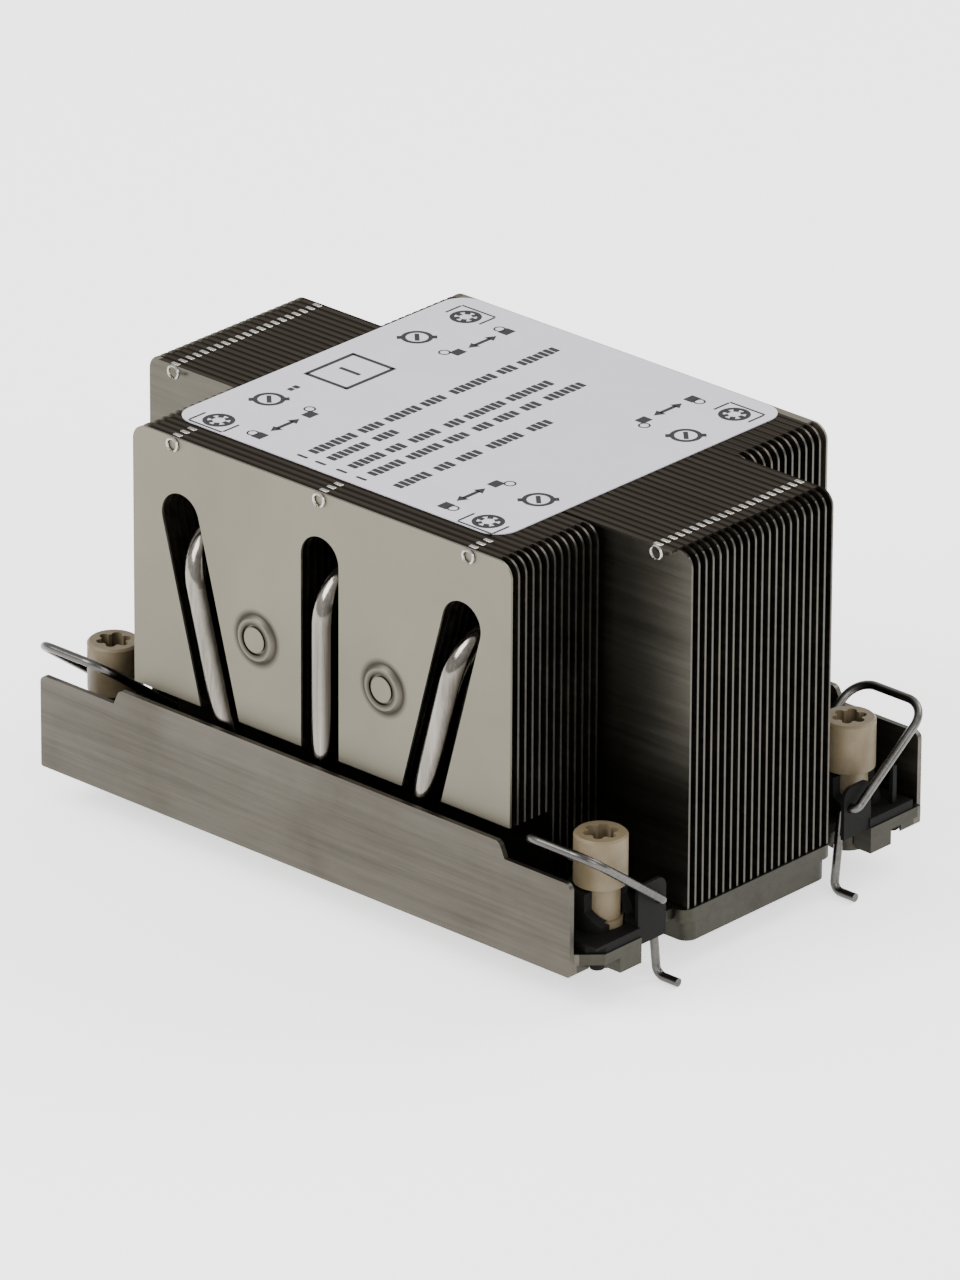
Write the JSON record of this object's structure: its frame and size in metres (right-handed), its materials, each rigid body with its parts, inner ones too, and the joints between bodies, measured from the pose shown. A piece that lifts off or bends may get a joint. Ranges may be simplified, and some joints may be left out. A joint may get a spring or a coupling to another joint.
{
  "type": "passive server heatsink",
  "caption": "Passive finned heatsink for a server processor: pipes bent from the base up through the fins, captive corner nuts and hooked wire locks on a flat walled base.",
  "frame": {"origin": "centre of the contact face, on the underside of the base", "axes": "+Z away from the processor, X along the fins and the airflow, Y across the fins, with the open pipe slots on the -Y side"},
  "size_m": [0.12, 0.0784, 0.069],
  "materials": {
    "base_metal": "machined, faintly brushed along the length",
    "plated_plate": "nickel plate over copper, ground flat",
    "plated_pipe": "bright nickel plate over copper",
    "end_fin_metal": "plain rolled sheet",
    "fin_metal": "plain rolled sheet with bright cut edges",
    "label_film": "silver-grey film with plain printed bars",
    "nut_plastic": "moulded, satin beige",
    "retainer_plastic": "moulded, satin black",
    "spring_wire": "drawn spring wire"
  },
  "bodies": {
    "cooler": {"base": "base_metal", "contact_plate": "plated_plate", "heat_pipe_left": "plated_pipe", "heat_pipe_centre": "plated_pipe", "heat_pipe_right": "plated_pipe", "front_end_fin": "end_fin_metal", "front_fins": "fin_metal", "wing_fins": "fin_metal", "rear_fins": "fin_metal", "rear_end_fin": "end_fin_metal", "label": "label_film", "retainer_front_right": "retainer_plastic", "retainer_front_left": "retainer_plastic", "retainer_rear_right": "retainer_plastic", "retainer_rear_left": "retainer_plastic"},
    "turning_nut_front_right": {"nut_front_right": "nut_plastic"},
    "turning_nut_front_left": {"nut_front_left": "nut_plastic"},
    "turning_nut_rear_right": {"nut_rear_right": "nut_plastic"},
    "turning_nut_rear_left": {"nut_rear_left": "nut_plastic"},
    "swinging_wire_front_right": {"lock_wire_front_right": "spring_wire"},
    "swinging_wire_front_left": {"lock_wire_front_left": "spring_wire"},
    "swinging_wire_rear_right": {"lock_wire_rear_right": "spring_wire"},
    "swinging_wire_rear_left": {"lock_wire_rear_left": "spring_wire"}
  },
  "joints": [
    {"name": "nut_turn_front_right", "type": "hinge", "parent": "cooler", "child": "turning_nut_front_right", "pos_m": [0.0512, -0.0285, 0.014], "axis": [0, 0, 1], "continuous": true},
    {"name": "nut_turn_front_left", "type": "hinge", "parent": "cooler", "child": "turning_nut_front_left", "pos_m": [-0.0512, -0.0285, 0.014], "axis": [0, 0, 1], "continuous": true},
    {"name": "nut_turn_rear_right", "type": "hinge", "parent": "cooler", "child": "turning_nut_rear_right", "pos_m": [0.0512, 0.0285, 0.014], "axis": [0, 0, 1], "continuous": true},
    {"name": "nut_turn_rear_left", "type": "hinge", "parent": "cooler", "child": "turning_nut_rear_left", "pos_m": [-0.0512, 0.0285, 0.014], "axis": [0, 0, 1], "continuous": true},
    {"name": "wire_swing_front_right", "type": "hinge", "parent": "cooler", "child": "swinging_wire_front_right", "pos_m": [0.0512, -0.022, 0.0104], "axis": [-1, 0, 0], "range_deg": [-6, 26]},
    {"name": "wire_swing_front_left", "type": "hinge", "parent": "cooler", "child": "swinging_wire_front_left", "pos_m": [-0.0512, -0.022, 0.0104], "axis": [-1, 0, 0], "range_deg": [-6, 26]},
    {"name": "wire_swing_rear_right", "type": "hinge", "parent": "cooler", "child": "swinging_wire_rear_right", "pos_m": [0.0512, 0.022, 0.0104], "axis": [1, 0, 0], "range_deg": [-6, 26]},
    {"name": "wire_swing_rear_left", "type": "hinge", "parent": "cooler", "child": "swinging_wire_rear_left", "pos_m": [-0.0512, 0.022, 0.0104], "axis": [1, 0, 0], "range_deg": [-6, 26]}
  ]
}
